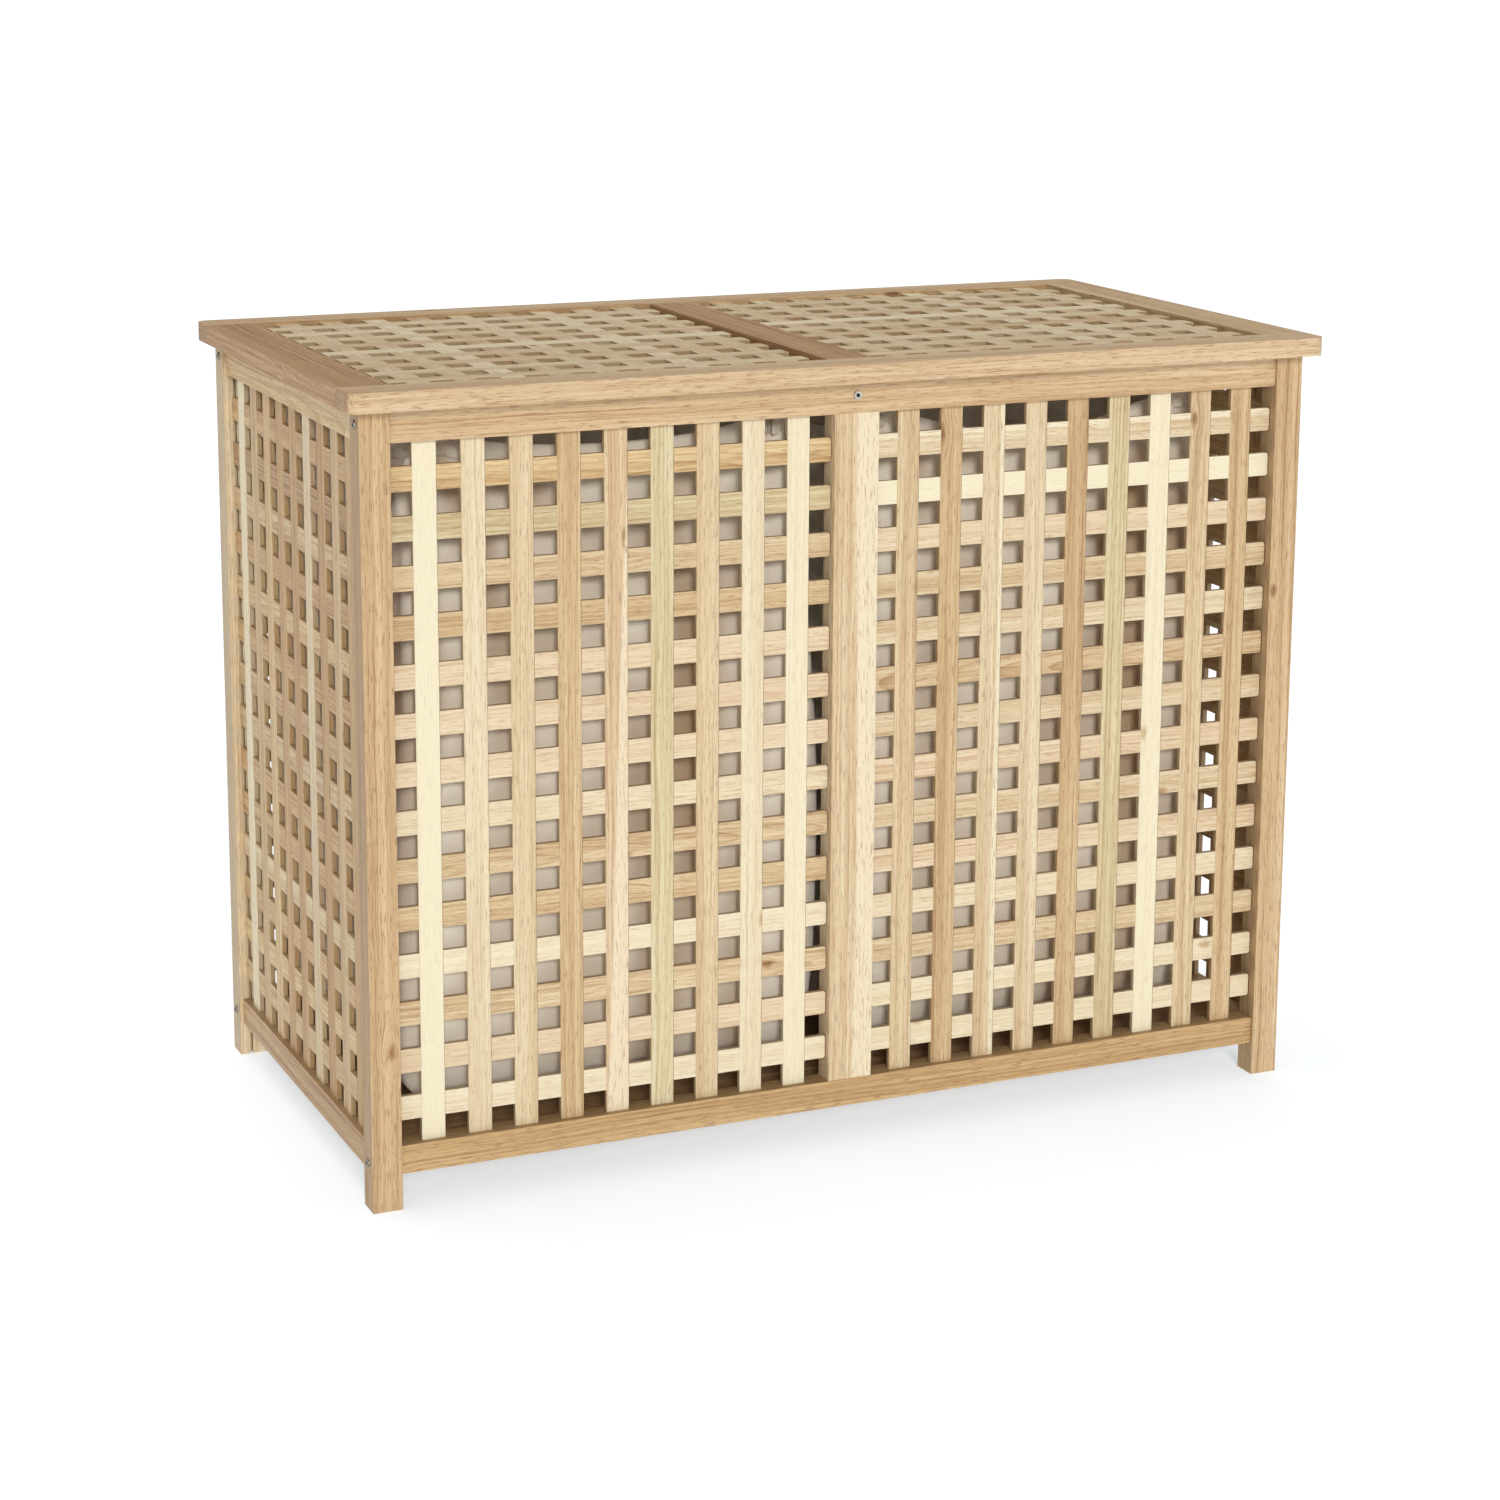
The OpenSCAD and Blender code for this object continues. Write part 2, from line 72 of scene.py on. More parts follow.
def add_floor():
    """A white studio sweep that glows a little, so that only the shadow under the chest stays grey.
    Its cool glow makes up for the warm light that the wood throws into that shadow."""
    half = 60
    corners = [(-half, -half, 0), (half, -half, 0), (half, half, 0), (-half, half, 0)]
    mesh = bpy.data.meshes.new("floor")
    mesh.from_pydata(corners, [], [(0, 1, 2, 3)])
    floor = bpy.data.objects.new("floor", mesh)
    bpy.context.scene.collection.objects.link(floor)
    paper = Shader("floor_paper")
    paper.finish({
        "Base Color": (0.84, 0.79, 0.78, 1),
        "Roughness": 0.9,
        "Specular IOR Level": 0.0,
        "Emission Color": (0.70, 0.86, 0.965, 1),
        "Emission Strength": 0.52,
    })
    mesh.materials.append(paper.material)


def add_sun(name, round_to_left, height, energy, width):
    """A broad light; angles in degrees, seen from the chest."""
    turn, rise = math.radians(round_to_left), math.radians(height)
    level = math.cos(rise)
    ray = Vector((math.sin(turn) * level, math.cos(turn) * level, -math.sin(rise)))
    data = bpy.data.lights.new(name, "SUN")
    data.energy = energy
    data.angle = math.radians(width)
    lamp = bpy.data.objects.new(name, data)
    bpy.context.scene.collection.objects.link(lamp)
    lamp.rotation_euler = ray.to_track_quat("-Z", "Y").to_euler()


def add_light():
    """Warm white surroundings, a key light from the front left and a broad one from above the back."""
    add_sun("key", 17, 21, 1.62, 14)
    add_sun("top", 172, 72, 0.72, 40)
    world = bpy.data.worlds.new("studio")
    bpy.context.scene.world = world
    world.use_nodes = True
    background = world.node_tree.nodes["Background"]
    background.inputs["Color"].default_value = (1, 0.97, 0.93, 1)
    background.inputs["Strength"].default_value = 0.46
    bpy.context.scene.view_settings.view_transform = "Standard"


# ---------------------------------------------------------------- shader helper

class Shader:
    """A material under construction. The methods that work out a value return its socket."""

    def __init__(self, name):
        self.material = bpy.data.materials.new(name)
        self.material.use_nodes = True
        self.tree = self.material.node_tree
        self.surface = self.tree.nodes["Principled BSDF"]

    def put(self, socket, value):
        if isinstance(value, bpy.types.NodeSocket):
            self.tree.links.new(value, socket)
        else:
            socket.default_value = value

    def node(self, kind, inputs=(), **settings):
        made = self.tree.nodes.new(kind)
        for key, value in settings.items():
            setattr(made, key, value)
        for key, value in dict(inputs).items():
            self.put(made.inputs[key], value)
        return made

    def math(self, operation, a, b=0.0):
        return self.node("ShaderNodeMath", {0: a, 1: b}, operation=operation).outputs[0]

    def add(self, a, b):
        return self.math("ADD", a, b)

    def times(self, a, b):
        return self.math("MULTIPLY", a, b)

    def fit(self, value, low, high, out_low=0.0, out_high=1.0, smooth=True):
        made = self.node("ShaderNodeMapRange", {0: value, 1: low, 2: high, 3: out_low, 4: out_high})
        made.interpolation_type = "SMOOTHSTEP" if smooth else "LINEAR"
        return made.outputs[0]

    def attribute(self, name, output):
        return self.node("ShaderNodeAttribute", attribute_name=name).outputs[output]

    def split(self, vector):
        return dict(zip("XYZ", self.node("ShaderNodeSeparateXYZ", {0: vector}).outputs))

    def join(self, x, y, z):
        return self.node("ShaderNodeCombineXYZ", {0: x, 1: y, 2: z}).outputs[0]

    def noise(self, vector, scale=1.0, detail=2.0, roughness=0.5):
        made = self.node("ShaderNodeTexNoise", {"Vector": vector, "Scale": scale, "Detail": detail,
                                                "Roughness": roughness})
        return made.outputs["Fac"]

    def signed(self, fac, size):
        """A 0 to 1 value as -size/2 to size/2."""
        return self.times(self.add(fac, -0.5), size)

    def ramp(self, fac, *stops):
        made = self.node("ShaderNodeValToRGB", {0: fac})
        steps = made.color_ramp.elements
        steps[0].position, steps[0].color = stops[0][0], (*stops[0][1], 1)
        steps[1].position, steps[1].color = stops[-1][0], (*stops[-1][1], 1)
        for place, colour in stops[1:-1]:
            steps.new(place).color = (*colour, 1)
        return made.outputs[0]

    def mix(self, fac, a, b, blend="MIX"):
        made = self.node("ShaderNodeMix", data_type="RGBA", blend_type=blend)
        for socket, value in zip((made.inputs[0], made.inputs[6], made.inputs[7]), (fac, a, b)):
            self.put(socket, value)
        return made.outputs[2]

    def bump(self, height, strength, distance):
        return self.node("ShaderNodeBump", {"Height": height, "Strength": strength,
                                            "Distance": distance}).outputs[0]

    def finish(self, inputs):
        for key, value in inputs.items():
            self.put(self.surface.inputs[key], value)


# ---------------------------------------------------------------- wood

# One look for each solid: tone from pale sapwood (0) to brown heartwood (1), tint from olive (-1)
# to pink (1), figure from straight (0) to arched grain (1), gold (0 to 1), where pale sapwood
# starts across the piece (-1 to 1), and how far that edge slants from one end to the other.
NO_SAP = 4.0
LOOKS = {
    "cream": (0.02, -0.1, 0.1, 0.0, NO_SAP, 0.0),
    "pale": (0.16, 0.1, 0.2, 0.0, NO_SAP, 0.0),
    "rosy": (0.25, 0.7, 0.3, 0.0, NO_SAP, 0.0),
    "beige": (0.31, 0.1, 0.1, 0.0, NO_SAP, 0.0),
    "streaky": (0.39, 0.1, 0.1, 0.1, NO_SAP, 0.0),
    "tan": (0.50, 0.1, 0.2, 0.35, NO_SAP, 0.0),
    "brown": (0.70, 0.3, 0.3, 0.3, NO_SAP, 0.0),
    "arched": (0.44, 0.2, 1.0, 0.2, NO_SAP, 0.0),
    "olive": (0.30, -1.0, 0.5, 0.0, NO_SAP, 0.0),
    "honey": (0.34, 0.0, 0.9, 0.8, NO_SAP, 0.0),
    # Used on the lid rails; its dark tone is partly painted shade on the lid's top
    "mauve": (0.72, 0.4, 0.3, 0.75, NO_SAP, 0.0),
    "golden": (0.58, 0.1, 0.5, 0.85, NO_SAP, 0.0),
    "amber": (0.54, 0.2, 0.4, 0.8, NO_SAP, 0.0),
    "blush": (0.47, 0.5, 0.3, 0.25, NO_SAP, 0.0),
    "post": (0.55, 0.5, 0.2, 0.35, NO_SAP, 0.0),
    # The lid's looks are darker than the lattice's: partly their own colour, partly painted shade on
    # the lid's top
    "lid_slat": (0.36, 0.0, 0.1, 0.1, NO_SAP, 0.0),
    "lid_pink": (0.42, 0.6, 0.2, 0.1, NO_SAP, 0.0),
    "half_sap": (0.42, 0.3, 0.2, 0.0, 0.05, 0.0),
    "edge_sap": (0.37, 0.1, 0.2, 0.0, 0.45, 0.0),
    "slant_sap": (0.42, 0.6, 0.2, 0.0, 0.1, -1.1),
}

# The looks of each node's solids, from left to right, front to back or bottom to top; they repeat
# if there are more solids than looks
SOLID_LOOKS = {
    "front_left_bay_uprights": "cream beige streaky tan slant_sap olive streaky pale cream",
    "front_left_bay_cross_slats":
        "pale rosy arched pale tan arched beige rosy rosy rosy tan streaky olive honey",
    "front_right_bay_uprights": "streaky tan edge_sap beige tan olive cream streaky tan",
    "front_right_bay_cross_slats":
        "pale pale streaky pale rosy beige rosy beige arched beige streaky rosy cream edge_sap",
    # The rear's tan and amber looks are partly the wood's own colour, partly painted shade of the
    # chest's inside
    "rear_left_bay_uprights": "tan amber streaky tan beige tan amber tan streaky",
    "rear_left_bay_cross_slats":
        "tan arched amber tan streaky tan honey tan arched amber streaky arched tan beige",
    "rear_right_bay_uprights": "streaky tan amber beige tan edge_sap tan amber tan",
    "rear_right_bay_cross_slats":
        "tan amber tan streaky arched tan amber beige tan honey tan streaky amber tan",
    # The left side's golden and amber looks are partly the wood's own colour, partly painted shade of
    # that side
    "left_side_uprights": "amber tan golden beige amber golden honey tan pale",
    "left_side_cross_slats":
        "tan honey amber streaky golden amber arched tan golden honey amber arched brown amber",
    "right_side_uprights": "tan amber streaky tan honey tan beige amber tan",
    "right_side_cross_slats":
        "honey tan amber tan streaky golden tan amber arched tan amber tan golden honey",
    "lid_left_long_slats": "lid_slat beige lid_pink lid_slat pale lid_pink lid_slat beige lid_slat",
    "lid_left_cross_slats": "beige lid_slat pale lid_pink beige lid_slat pale beige lid_slat",
    "lid_right_long_slats": "lid_pink lid_slat beige tan lid_slat pale lid_pink beige lid_slat",
    "lid_right_cross_slats": "lid_slat beige lid_pink beige lid_slat pale beige lid_pink beige",
    "front_left_post": "post",
    "front_right_post": "blush",
    "rear_left_post": "edge_sap",
    "rear_right_post": "post",
    "front_top_rail": "blush",
    "rear_top_rail": "tan",
    "front_bottom_rail": "golden",
    "rear_bottom_rail": "tan",
    "left_top_rail": "honey",
    "left_bottom_rail": "brown",
    "right_top_rail": "tan",
    "right_bottom_rail": "tan",
    "front_centre_stile": "half_sap",
    "rear_centre_stile": "half_sap",
    "lid_front_rail": "lid_pink",
    "lid_rear_rail": "tan",
    "lid_left_rail": "mauve",
    "lid_right_rail": "tan",
    "lid_centre_rail": "mauve",
    "bottom_board": "brown",
    "bag_crossbar": "tan",
    "front_board_batten": "tan",
    "rear_board_batten": "tan",
    "left_frame_dowels": "pale",
    "right_frame_dowels": "pale",
    "stile_dowels": "pale",
    "lid_dowels": "pale",
}

# The nodes for each grain direction followed by the wide direction across it
GRAIN = {
    "ZX": ["front_left_bay_uprights", "front_right_bay_uprights", "rear_left_bay_uprights",
           "rear_right_bay_uprights", "front_centre_stile", "rear_centre_stile", "front_left_post",
           "front_right_post", "rear_left_post", "rear_right_post", "stile_dowels"],
    "ZY": ["left_side_uprights", "right_side_uprights"],
    "XZ": ["front_left_bay_cross_slats", "front_right_bay_cross_slats", "rear_left_bay_cross_slats",
           "rear_right_bay_cross_slats", "front_top_rail", "rear_top_rail", "front_bottom_rail",
           "rear_bottom_rail", "front_board_batten", "rear_board_batten"],
    "XY": ["lid_left_long_slats", "lid_right_long_slats", "lid_front_rail", "lid_rear_rail",
           "bottom_board"],
    "YZ": ["left_side_cross_slats", "right_side_cross_slats", "left_top_rail", "left_bottom_rail",
           "right_top_rail", "right_bottom_rail", "left_frame_dowels", "right_frame_dowels"],
    "YX": ["lid_left_cross_slats", "lid_right_cross_slats", "lid_left_rail", "lid_right_rail",
           "lid_centre_rail", "bag_crossbar", "lid_dowels"],
}


# From the palest sapwood to the darkest knot
WOOD_RAMP = (
    (0.0, (0.79, 0.71, 0.51)),
    (0.25, (0.69, 0.57, 0.37)),
    (0.5, (0.56, 0.41, 0.235)),
    (0.75, (0.41, 0.26, 0.13)),
    (1.0, (0.25, 0.13, 0.055)),
)
PINK_TINT = (1.0, 0.92, 0.92, 1)
OLIVE_TINT = (0.92, 0.945, 0.88, 1)
GOLD_TINT = (1.0, 0.90, 0.70, 1)
PORE_COLOUR = (0.30, 0.16, 0.08, 1)
# Painted shade for the narrow sides of the slats, which wall the lattice holes
HOLE_WALL_SHADE_COLOUR = (0.30, 0.19, 0.09, 1)


class Plank:
    """Where a shading point lies in its own solid, which way it faces, and that solid's look."""

    def __init__(self, s, grain):
        along_axis, wide_axis = grain
        thin_axis = (set("XYZ") - set(grain)).pop()
        coordinates = s.node("ShaderNodeTexCoord").outputs
        self.here = coordinates["Object"]
        facing = s.split(coordinates["Normal"])
        centre = s.attribute("solid_centre", "Vector")
        local = s.node("ShaderNodeVectorMath", {0: self.here, 1: centre}, operation="SUBTRACT")
        place = s.split(local.outputs[0])
        half = s.split(s.attribute("solid_half", "Vector"))
        look = s.split(s.attribute("solid_look", "Vector"))
        cut = s.split(s.attribute("solid_cut", "Vector"))
        self.s = s
        self.along, self.wide, self.thin = place[along_axis], place[wide_axis], place[thin_axis]
        self.half_along, self.half_wide = half[along_axis], half[wide_axis]
        self.end_on = s.math("ABSOLUTE", facing[along_axis])
        self.side_on = s.math("ABSOLUTE", facing[wide_axis])
        self.tone, self.tint, self.figure = look["X"], look["Y"], look["Z"]
        self.gold, self.sap_edge, self.sap_slope = cut["X"], cut["Y"], cut["Z"]
        self.seed = s.attribute("solid_seed", "Fac")

    def stretched(self, per_metre_along, per_metre_across, across):
        """Noise coordinates stretched along the grain, different for each solid."""
        s = self.s
        return s.join(s.add(s.times(self.along, per_metre_along), self.seed),
                      s.add(s.times(across, per_metre_across), s.times(self.seed, 1.7)),
                      s.times(self.thin, per_metre_across))


def knots(s, plank):
    """Knots, so far apart that only a few pieces have one, and how the grain flows round them."""
    per_metre_along, per_metre_across = 3, 6
    shift = s.times(plank.seed, 1.3)
    spot = s.node("ShaderNodeTexVoronoi", {
        "Vector": s.join(s.add(s.times(plank.along, per_metre_along), s.times(plank.seed, 3.1)),
                         s.add(s.times(plank.wide, per_metre_across), shift), 0.0),
        "Scale": 1.0,
    }, voronoi_dimensions="2D")
    ragged = s.signed(s.noise(plank.here, scale=160, detail=2), 0.02)
    away = s.add(spot.outputs["Distance"], ragged)
    centre = s.math("SUBTRACT", s.split(spot.outputs["Position"])["Y"], shift)
    beside = s.add(plank.wide, s.times(centre, -1 / per_metre_across))
    knot = s.fit(away, 0.004, 0.030, 0.9, 0.0)
    flow = s.times(beside, s.fit(away, 0.015, 0.09, -0.7, 0.0))
    return knot, flow


def growth_rings(s, plank, bent):
    """Rings round a pith line, which lies far beside a straight-grained piece and just behind an
    arched one."""
    rings_per_metre = 260
    pith_behind = 0.016
    pith_beside = s.fit(plank.figure, 0, 1, 0.07, 0.004, smooth=False)
    pith_slope = s.signed(s.math("FRACT", s.times(plank.seed, 0.37)), 0.16)
    beside = s.add(bent, pith_beside)
    behind = s.add(s.add(plank.thin, pith_behind), s.times(plank.along, pith_slope))
    radius = s.math("SQRT", s.add(s.times(beside, beside), s.times(behind, behind)))
    return s.math("POWER", s.math("FRACT", s.times(radius, rings_per_metre)), 3.0)


def sapwood(s, plank, broad):
    """1 in the sapwood, 0 in the heartwood."""
    across = s.math("DIVIDE", plank.wide, plank.half_wide)
    slant = s.times(s.math("DIVIDE", plank.along, plank.half_along), plank.sap_slope)
    ragged = s.signed(broad, 1.0)
    beyond = s.math("SUBTRACT", s.add(s.add(across, slant), ragged), plank.sap_edge)
    return s.fit(beyond, -0.08, 0.12)


def wood_colour(s, plank, shade, pores):
    """Tints the wood, marks its pores and paints shade on the sides of the slats, which are narrow."""
    pink = s.math("MAXIMUM", plank.tint, 0.0)
    olive = s.math("MAXIMUM", s.times(plank.tint, -1.0), 0.0)
    pore = s.times(pores, s.fit(plank.tone, 0.0, 0.55, 0.14, 0.72, smooth=False))
    narrow = s.fit(plank.half_wide, 0.012, 0.014, 0.62, 0.0, smooth=False)
    # Painted shade on the slats' sides, the walls of the lattice holes
    hole_wall_shade = s.times(s.math("POWER", plank.side_on, 6.0), narrow)
    colour = s.ramp(shade, *WOOD_RAMP)
    colour = s.mix(pink, colour, PINK_TINT, "MULTIPLY")
    colour = s.mix(olive, colour, OLIVE_TINT, "MULTIPLY")
    colour = s.mix(plank.gold, colour, GOLD_TINT, "MULTIPLY")
    colour = s.mix(pore, colour, PORE_COLOUR)
    return s.mix(hole_wall_shade, colour, HOLE_WALL_SHADE_COLOUR)


def wood(grain):
    """Oiled walnut and its sapwood: rings, streaks, fibres and pores run along each solid's grain."""
    s = Shader("wood_" + grain.lower())
    plank = Plank(s, grain)
    knot, flow = knots(s, plank)
    drift = s.signed(s.noise(plank.stretched(4, 18, plank.wide), detail=1), 0.010)
    wobble = s.signed(s.noise(plank.stretched(14, 60, plank.wide), detail=1), 0.003)
    sway = s.add(s.times(drift, s.add(0.35, plank.figure)), wobble)
    bent = s.add(s.add(plank.wide, flow), sway)

    broad = s.noise(plank.stretched(1.6, 45, bent), detail=2)
    streaks = s.fit(s.noise(plank.stretched(1.8, 240, bent), detail=4, roughness=0.65), 0.30, 0.72)
    lines = s.fit(s.noise(plank.stretched(6, 560, bent), detail=3, roughness=0.65), 0.48, 0.70)
    fibres = s.noise(plank.stretched(22, 1000, bent), detail=2, roughness=0.65)
    pores = s.fit(s.noise(plank.stretched(75, 880, bent), detail=2, roughness=0.6), 0.54, 0.68)
    rings = growth_rings(s, plank, bent)
    ring_strength = s.fit(plank.figure, 0, 1, 0.03, 0.28, smooth=False)

    figure = s.add(s.signed(broad, 0.40), s.add(s.signed(streaks, 0.24), s.times(lines, 0.22)))
    figure = s.add(figure, s.signed(fibres, 0.36))
    figure = s.add(figure, s.times(rings, ring_strength))
    strength = s.fit(plank.tone, 0.0, 0.35, 0.45, 1.0, smooth=False)
    end_grain = s.math("POWER", plank.end_on, 8.0)
    shade = s.add(s.add(plank.tone, -0.05), s.times(figure, strength))
    shade = s.add(shade, s.add(s.times(end_grain, 0.3), s.times(knot, 0.5)))
    shade = s.math("SUBTRACT", shade, s.times(sapwood(s, plank, broad), s.times(shade, 0.8)))

    relief = s.math("SUBTRACT", s.times(fibres, 0.5), pores)
    s.finish({
        "Base Color": wood_colour(s, plank, shade, pores),
        "Roughness": s.add(0.50, s.signed(fibres, 0.16)),
        "Specular IOR Level": 0.36,
        "Normal": s.bump(relief, 0.35, 0.0003),
    })
    return s.material


def solids(mesh):
    """The vertex indices of each solid in a mesh whose vertices may be split along its edges."""
    first = {}
    owner = list(range(len(mesh.vertices)))

    def root(i):
        while owner[i] != i:
            owner[i] = owner[owner[i]]
            i = owner[i]
        return i

    for v in mesh.vertices:
        key = tuple(round(c, 6) for c in v.co)
        owner[v.index] = first.setdefault(key, v.index)
    for edge in mesh.edges:
        a, b = root(edge.vertices[0]), root(edge.vertices[1])
        owner[max(a, b)] = min(a, b)
    groups = {}
    for v in mesh.vertices:
        groups.setdefault(root(v.index), []).append(v.index)
    return list(groups.values())


def set_solid_attributes(name, looks):
    """Gives every solid of a node its centre, half size, look and seed, for the wood material."""
    tone_spread = 0.05
    mesh = nodes[name].data
    count = len(mesh.vertices)
    fields = {key: np.zeros((count, 3), np.float32)
              for key in ("solid_centre", "solid_half", "solid_look", "solid_cut")}
    seeds = np.zeros(count, np.float32)
    found = []
    for group in solids(mesh):
        corners = [mesh.vertices[i].co for i in group]
        low = Vector(min(c[k] for c in corners) for k in range(3))
        high = Vector(max(c[k] for c in corners) for k in range(3))
        found.append((low, high, group))
    spread = [max(f[0][k] for f in found) - min(f[0][k] for f in found) for k in range(3)]
    order = spread.index(max(spread))
    found.sort(key=lambda f: f[0][order])
    for i, (low, high, group) in enumerate(found):
        tone, tint, figure, gold, sap_edge, sap_slope = LOOKS[looks[i % len(looks)]]
        seed = (sum(map(ord, name)) % 97) * 1.37 + i * 3.71
        values = {
            "solid_centre": (low + high) / 2,
            "solid_half": (high - low) / 2,
            "solid_look": (tone + tone_spread * math.sin(seed * 5), tint, figure),
            "solid_cut": (gold, sap_edge, sap_slope),
        }
        for key, value in values.items():
            fields[key][group] = value
        seeds[group] = seed
    for key, value in fields.items():
        mesh.attributes.new(key, "FLOAT_VECTOR", "POINT").data.foreach_set("vector", value.ravel())
    mesh.attributes.new("solid_seed", "FLOAT", "POINT").data.foreach_set("value", seeds)


def ease_edges(name, width):
    """Sanded edges: the split corners are welded, then every sharp edge is rounded."""
    piece = nodes[name]
    weld = piece.modifiers.new("weld", "WELD")
    weld.merge_threshold = 2e-5
    bevel = piece.modifiers.new("eased edges", "BEVEL")
    bevel.width = width
    bevel.segments = 3
    bevel.limit_method = "ANGLE"
    bevel.angle_limit = math.radians(40)
    bevel.harden_normals = True


def edge_round(name):
    """The width of a wooden piece's eased edges."""
    if "slats" in name or "uprights" in name:
        return 0.0006
    return 0.0030 if "lid" in name else 0.0016


def dress_wood():
    for grain, members in GRAIN.items():
        material = wood(grain)
        for name in members:
            set_solid_attributes(name, SOLID_LOOKS[name].split())
            nodes[name].data.materials.clear()
            nodes[name].data.materials.append(material)
            if "dowels" not in name:
                ease_edges(name, edge_round(name))


# ---------------------------------------------------------------- metal

def plated(name, dark, light):
    """Plated steel with a faint grain and small dull patches, from a dark to a light colour."""
    s = Shader(name)
    here = s.node("ShaderNodeTexCoord").outputs["Object"]
    clouds = s.noise(here, scale=160, detail=3)
    brush = s.noise(here, scale=2600, detail=1)
    s.finish({
        # Faces marked inside the screw sockets get painted shade, near black
        "Base Color": s.mix(s.attribute("socket_shade", "Fac"), s.ramp(clouds, (0.3, dark), (0.7, light)),
                            (0.05, 0.045, 0.04, 1)),
        "Metallic": 1.0,
        "Roughness": s.add(0.22, s.times(clouds, 0.2)),
        "Normal": s.bump(brush, 0.12, 0.0001),
    })
    return s.material


def mark_sockets(name, axis):
    """Marks the faces inside the hexagon sockets of screws along an axis (0 is X, 1 is Y), for painted
    shade.
    """
    socket_reach = 0.00195      # just outside the corners of the hexagon
    head_from_middle = 0.02     # every face nearer to the screw's middle belongs to the shank
    mesh = nodes[name].data
    marks = np.zeros(len(mesh.polygons), np.float32)
    centre = {}
    for group in solids(mesh):
        reaches = list(zip(*(mesh.vertices[i].co for i in group)))
        middle = Vector((min(reach) + max(reach)) / 2 for reach in reaches)
        centre.update((i, middle) for i in group)
    for face in mesh.polygons:
        spans = []
        for i in face.vertices:
            offset = mesh.vertices[i].co - centre[i]
            reach = abs(offset[axis])
            offset[axis] = 0
            spans.append((offset.length, reach))
        widest, nearest = max(s[0] for s in spans), min(s[1] for s in spans)
        marks[face.index] = widest < socket_reach and nearest > head_from_middle
    mesh.attributes.new("socket_shade", "FLOAT", "FACE").data.foreach_set("value", marks)


def dress_metal():
    nickel = plated("nickel_plate", (0.50, 0.48, 0.45), (0.70, 0.69, 0.66))
    bronzed = plated("bronzed_steel", (0.20, 0.17, 0.13), (0.34, 0.30, 0.25))
    for name in ("frame_screws", "crossbar_screws", "bag_pegs", "hinge_rail_leaves", "hinge_pins",
                 "hinge_rail_screws", "hinge_lid_leaves", "hinge_lid_screws"):
        nodes[name].data.materials.clear()
        nodes[name].data.materials.append(bronzed if name == "frame_screws" else nickel)
    mark_sockets("frame_screws", 0)
    mark_sockets("crossbar_screws", 1)


# ---------------------------------------------------------------- bags

def cotton(name, warmth=0.0, fold_shade=0.92):
    """Plain woven cotton canvas: warp and weft threads, slubs, crumples and painted shade in the
    folds.

    The cloth attribute holds a point's place round the bag, its height and how far it stands out.
    """
    thread_pitch = 0.0011
    s = Shader(name)
    cloth = s.split(s.attribute("cloth", "Vector"))
    here = s.node("ShaderNodeTexCoord").outputs["Object"]
    threads = 2 * math.pi / thread_pitch
    warp = s.math("SINE", s.times(cloth["X"], threads))
    weft = s.math("SINE", s.times(cloth["Y"], threads))
    slubs = s.noise(s.join(s.times(cloth["X"], 90), s.times(cloth["Y"], 900), 0.0), detail=2)
    clouds = s.noise(here, scale=14, detail=3)
    crumple = s.noise(here, scale=55, detail=3, roughness=0.55)
    shade = s.add(s.times(clouds, 0.7), s.times(slubs, 0.3))
    linen = s.ramp(shade, (0.3, (0.86, 0.77 - warmth, 0.63 - warmth)),
                   (0.7, (0.92, 0.84 - warmth, 0.71 - warmth)))
    # Painted shade: the deeper a fold's hollow, the browner and darker the cloth
    fold_shadow = s.fit(cloth["Z"], -0.011, 0.003, fold_shade, 0.0)
    uneven = s.add(s.times(slubs, 0.5), s.times(crumple, 3.0))
    relief = s.add(s.times(s.times(warp, weft), 0.25), uneven)
    s.finish({
        "Base Color": s.mix(fold_shadow, linen, (0.47, 0.30, 0.16, 1)),
        "Roughness": 0.88,
        "Specular IOR Level": 0.2,
        "Sheen Weight": 0.25,
        "Sheen Roughness": 0.5,
        "Normal": s.bump(relief, 0.5, 0.0012),
    })
    return s.material


def smooth_step(x):
    x = min(1.0, max(0.0, x))
    return x * x * (3 - 2 * x)


